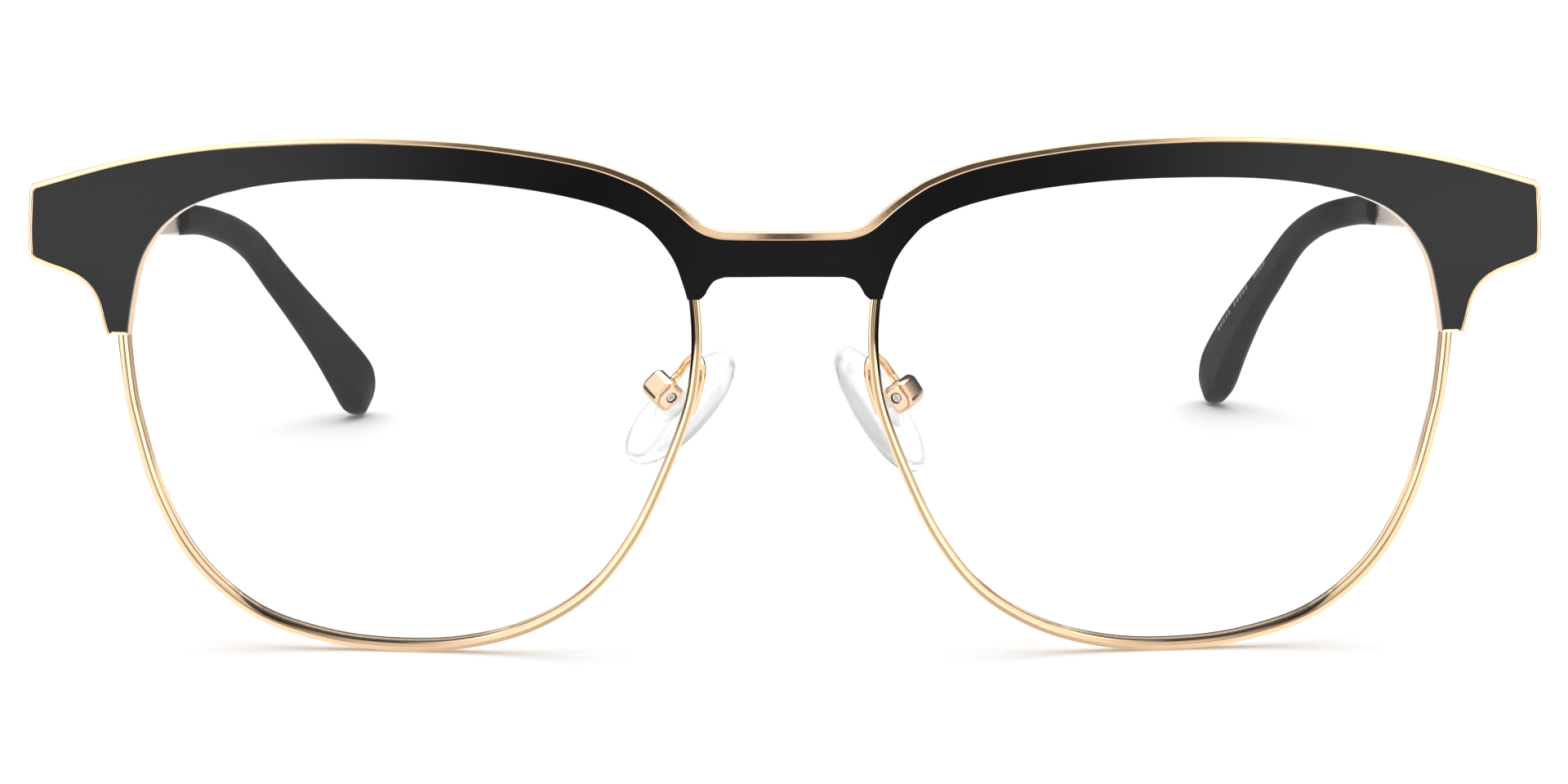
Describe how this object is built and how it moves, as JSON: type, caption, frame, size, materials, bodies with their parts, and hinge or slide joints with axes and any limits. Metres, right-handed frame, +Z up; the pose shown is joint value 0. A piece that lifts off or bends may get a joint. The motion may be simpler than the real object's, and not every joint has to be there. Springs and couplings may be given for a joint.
{
  "type": "eyeglasses",
  "caption": "Browline eyeglasses with a curved brow plate, full metal rims round clear lenses, tilting nose pads and folding temples with bent tips.",
  "frame": {"origin": "on the table the open glasses stand on, under the middle of their bounding box", "axes": "+X across the front towards the wearer's left, +Y back along the temples, +Z up; the front faces -Y"},
  "size_m": [0.1452, 0.1432, 0.0502],
  "materials": {
    "gold_metal": "polished pale gold plating",
    "black_enamel": "satin black enamel",
    "black_acetate": "soft matte black",
    "steel_screw": "bright turned steel",
    "clear_lens": "clear, polished",
    "clear_silicone": "clear soft silicone",
    "clear_plastic": "clear hard plastic"
  },
  "bodies": {
    "front": {"brow_inlay": "black_enamel", "brow_plate": "gold_metal", "eyewire_left": "gold_metal", "eyewire_right": "gold_metal", "hinge_front_leaf_left": "gold_metal", "hinge_front_leaf_right": "gold_metal", "hinge_screw_left": "steel_screw", "hinge_screw_right": "steel_screw", "lens_left": "clear_lens", "lens_right": "clear_lens", "pad_arm_left": "gold_metal", "pad_arm_right": "gold_metal", "pad_box_left": "gold_metal", "pad_box_right": "gold_metal", "pad_screw_left": "steel_screw", "pad_screw_right": "steel_screw", "rim_lock_lower_left": "gold_metal", "rim_lock_lower_right": "gold_metal", "rim_lock_screw_left": "steel_screw", "rim_lock_screw_right": "steel_screw", "rim_lock_upper_left": "gold_metal", "rim_lock_upper_right": "gold_metal"},
    "temple_right": {"hinge_temple_leaf_right": "gold_metal", "temple_bar_right": "gold_metal", "temple_tip_right": "black_acetate"},
    "temple_left": {"hinge_temple_leaf_left": "gold_metal", "temple_bar_left": "gold_metal", "temple_tip_left": "black_acetate"},
    "pad_right": {"nose_pad_right": "clear_silicone", "pad_insert_right": "clear_plastic"},
    "pad_left": {"nose_pad_left": "clear_silicone", "pad_insert_left": "clear_plastic"}
  },
  "joints": [
    {"name": "temple_fold_right", "type": "hinge", "parent": "front", "child": "temple_right", "pos_m": [-0.0684, -0.05937, 0.0414], "axis": [0, -0.1357, -0.9907], "range_deg": [0, 81]},
    {"name": "temple_fold_left", "type": "hinge", "parent": "front", "child": "temple_left", "pos_m": [0.0684, -0.05937, 0.0414], "axis": [0, 0.1357, 0.9907], "range_deg": [0, 73]},
    {"name": "pad_rock_right", "type": "hinge", "parent": "front", "child": "pad_right", "pos_m": [-0.0117, -0.06287, 0.02505], "axis": [0.4896, -0.7888, -0.3716], "range_deg": [-7, 7]},
    {"name": "pad_rock_left", "type": "hinge", "parent": "front", "child": "pad_left", "pos_m": [0.0114, -0.06287, 0.02471], "axis": [-0.4438, -0.8777, -0.1808], "range_deg": [-7, 7]}
  ]
}
